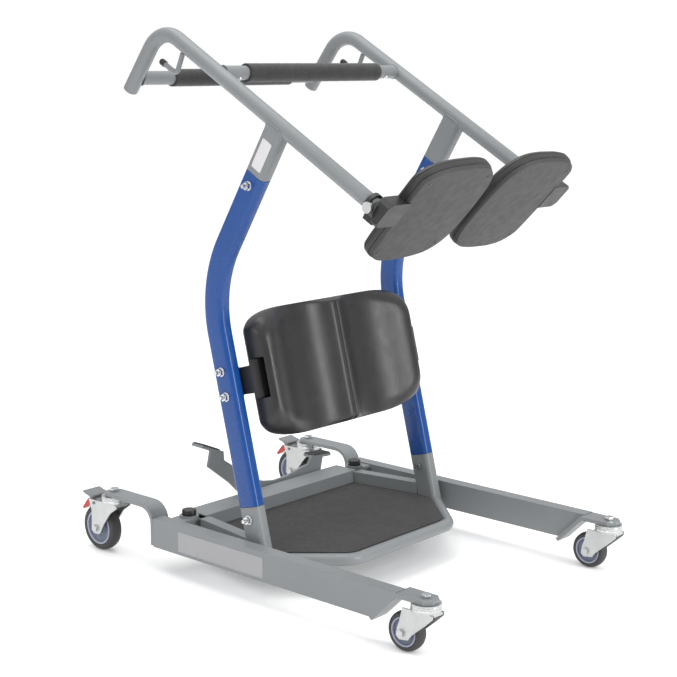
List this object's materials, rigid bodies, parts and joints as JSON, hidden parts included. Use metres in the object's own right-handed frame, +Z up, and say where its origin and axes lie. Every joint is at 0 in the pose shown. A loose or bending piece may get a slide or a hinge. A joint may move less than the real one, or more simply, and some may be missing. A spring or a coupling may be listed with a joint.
{
  "type": "patient lift hoist",
  "caption": "Manual stand-aid patient lift with spreading legs, braked casters, footplate, knee pad, swinging seat paddles and looped handle frame.",
  "frame": {"origin": "on the floor, under the middle of the overall box", "axes": "+X to the caregiver's right, +Y towards the caregiver, -Y the patient's entry side, +Z up"},
  "size_m": [0.662, 0.966, 1.0982],
  "materials": {
    "frame_grey": "satin grey powder coat",
    "mast_blue": "gloss blue",
    "black_metal": "satin black",
    "pad_skin": "semi-gloss moulded skin over foam",
    "foam_grip": "matt closed-cell foam",
    "mat_rubber": "matt, fine ribs",
    "bright_zinc": "bright zinc plate",
    "wheel_tyre": "matt rubber on a blue-grey hub",
    "brake_red": "gloss red with a grey tread",
    "black_cap": "satin black"
  },
  "bodies": {
    "base": {"rear_cross_tube": "frame_grey", "side_rail_left": "frame_grey", "side_rail_right": "frame_grey", "mast_socket_left": "frame_grey", "mast_socket_right": "frame_grey", "front_rim_tube": "frame_grey", "footplate": "frame_grey", "footplate_mat": "mat_rubber", "mast_left": "mast_blue", "mast_right": "mast_blue", "handle_frame_left": "frame_grey", "handle_frame_right": "frame_grey", "caregiver_bar": "frame_grey", "caregiver_grip": "foam_grip", "patient_bar": "frame_grey", "patient_grip": "foam_grip", "sling_hook_left": "black_metal", "sling_hook_right": "black_metal", "knee_bracket": "black_metal", "knee_pad": "pad_skin", "seat_pivot_bolt_left": "bright_zinc", "seat_pivot_bolt_right": "bright_zinc", "mast_bolt_lower_left": "bright_zinc", "mast_bolt_lower_right": "bright_zinc", "mast_bolt_upper_left": "bright_zinc", "mast_bolt_upper_right": "bright_zinc", "knee_bolt_upper_left": "bright_zinc", "knee_bolt_upper_right": "bright_zinc", "knee_bolt_lower_left": "bright_zinc", "knee_bolt_lower_right": "bright_zinc", "leg_pivot_pin_left": "black_cap", "leg_pivot_pin_right": "black_cap"},
    "rocker": {"pedal_rocker": "frame_grey"},
    "leg_left": {"leg_left": "frame_grey", "rear_arm_left": "frame_grey", "stem_bolt_front_left": "bright_zinc", "stem_bolt_rear_left": "bright_zinc"},
    "tie_left": {"tie_rod_left": "bright_zinc"},
    "caster_front_left": {"caster_fork_front_left": "bright_zinc"},
    "wheel_front_left": {"wheel_front_left": "wheel_tyre"},
    "caster_rear_left": {"caster_fork_rear_left": "bright_zinc"},
    "wheel_rear_left": {"wheel_rear_left": "wheel_tyre"},
    "brake_left": {"brake_pedal_left": "brake_red"},
    "seat_left": {"seat_board_left": "black_metal", "seat_cushion_left": "pad_skin", "seat_bracket_left": "black_metal"},
    "leg_right": {"leg_right": "frame_grey", "rear_arm_right": "frame_grey", "stem_bolt_front_right": "bright_zinc", "stem_bolt_rear_right": "bright_zinc"},
    "tie_right": {"tie_rod_right": "bright_zinc"},
    "caster_front_right": {"caster_fork_front_right": "bright_zinc"},
    "wheel_front_right": {"wheel_front_right": "wheel_tyre"},
    "caster_rear_right": {"caster_fork_rear_right": "bright_zinc"},
    "wheel_rear_right": {"wheel_rear_right": "wheel_tyre"},
    "brake_right": {"brake_pedal_right": "brake_red"},
    "seat_right": {"seat_board_right": "black_metal", "seat_cushion_right": "pad_skin", "seat_bracket_right": "black_metal"}
  },
  "joints": [
    {"name": "spreader_pedal", "type": "hinge", "parent": "base", "child": "rocker", "pos_m": [0, 0.245, 0.096], "axis": [0, -1, 0], "range_deg": [0, 26.8]},
    {"name": "leg_spread_left", "type": "hinge", "parent": "base", "child": "leg_left", "pos_m": [-0.26, 0.201, 0.083], "axis": [0, 0, -1], "range_deg": [0, 7]},
    {"name": "tie_pivot_left", "type": "hinge", "parent": "rocker", "child": "tie_left", "pos_m": [-0.00324, 0.252, 0.08238], "axis": [0, -1, 0], "range_deg": [-26.8, 0]},
    {"name": "swivel_front_left", "type": "hinge", "parent": "leg_left", "child": "caster_front_left", "pos_m": [-0.303, -0.455, 0.095], "axis": [0, 0, 1], "continuous": true},
    {"name": "roll_front_left", "type": "hinge", "parent": "caster_front_left", "child": "wheel_front_left", "pos_m": [-0.303, -0.413, 0.0375], "axis": [1, 0, 0], "continuous": true},
    {"name": "swivel_rear_left", "type": "hinge", "parent": "leg_left", "child": "caster_rear_left", "pos_m": [-0.303, 0.385, 0.12], "axis": [0, 0, 1], "continuous": true},
    {"name": "roll_rear_left", "type": "hinge", "parent": "caster_rear_left", "child": "wheel_rear_left", "pos_m": [-0.303, 0.427, 0.05], "axis": [1, 0, 0], "continuous": true},
    {"name": "brake_left", "type": "hinge", "parent": "caster_rear_left", "child": "brake_left", "pos_m": [-0.303, 0.431, 0.105], "axis": [-1, 0, 0], "range_deg": [0, 4.5]},
    {"name": "seat_swing_left", "type": "hinge", "parent": "base", "child": "seat_left", "pos_m": [-0.2685, -0.3104, 0.7796], "axis": [0, -0.8669, -0.4985], "range_deg": [0, 100]},
    {"name": "leg_spread_right", "type": "hinge", "parent": "base", "child": "leg_right", "pos_m": [0.26, 0.201, 0.083], "axis": [0, 0, 1], "range_deg": [0, 7]},
    {"name": "tie_pivot_right", "type": "hinge", "parent": "rocker", "child": "tie_right", "pos_m": [0.00324, 0.252, 0.10962], "axis": [0, -1, 0], "range_deg": [-26.8, 0]},
    {"name": "swivel_front_right", "type": "hinge", "parent": "leg_right", "child": "caster_front_right", "pos_m": [0.303, -0.455, 0.095], "axis": [0, 0, 1], "continuous": true},
    {"name": "roll_front_right", "type": "hinge", "parent": "caster_front_right", "child": "wheel_front_right", "pos_m": [0.303, -0.413, 0.0375], "axis": [1, 0, 0], "continuous": true},
    {"name": "swivel_rear_right", "type": "hinge", "parent": "leg_right", "child": "caster_rear_right", "pos_m": [0.303, 0.385, 0.12], "axis": [0, 0, 1], "continuous": true},
    {"name": "roll_rear_right", "type": "hinge", "parent": "caster_rear_right", "child": "wheel_rear_right", "pos_m": [0.303, 0.427, 0.05], "axis": [1, 0, 0], "continuous": true},
    {"name": "brake_right", "type": "hinge", "parent": "caster_rear_right", "child": "brake_right", "pos_m": [0.303, 0.431, 0.105], "axis": [-1, 0, 0], "range_deg": [0, 4.5]},
    {"name": "seat_swing_right", "type": "hinge", "parent": "base", "child": "seat_right", "pos_m": [0.2685, -0.3104, 0.7796], "axis": [0, 0.8669, 0.4985], "range_deg": [0, 100]}
  ],
  "couplings": [
    {"joint": "leg_spread_left", "follows": "spreader_pedal", "ratio": 0.2612},
    {"joint": "tie_pivot_left", "follows": "spreader_pedal", "ratio": -1},
    {"joint": "leg_spread_right", "follows": "spreader_pedal", "ratio": 0.2612},
    {"joint": "tie_pivot_right", "follows": "spreader_pedal", "ratio": -1}
  ]
}
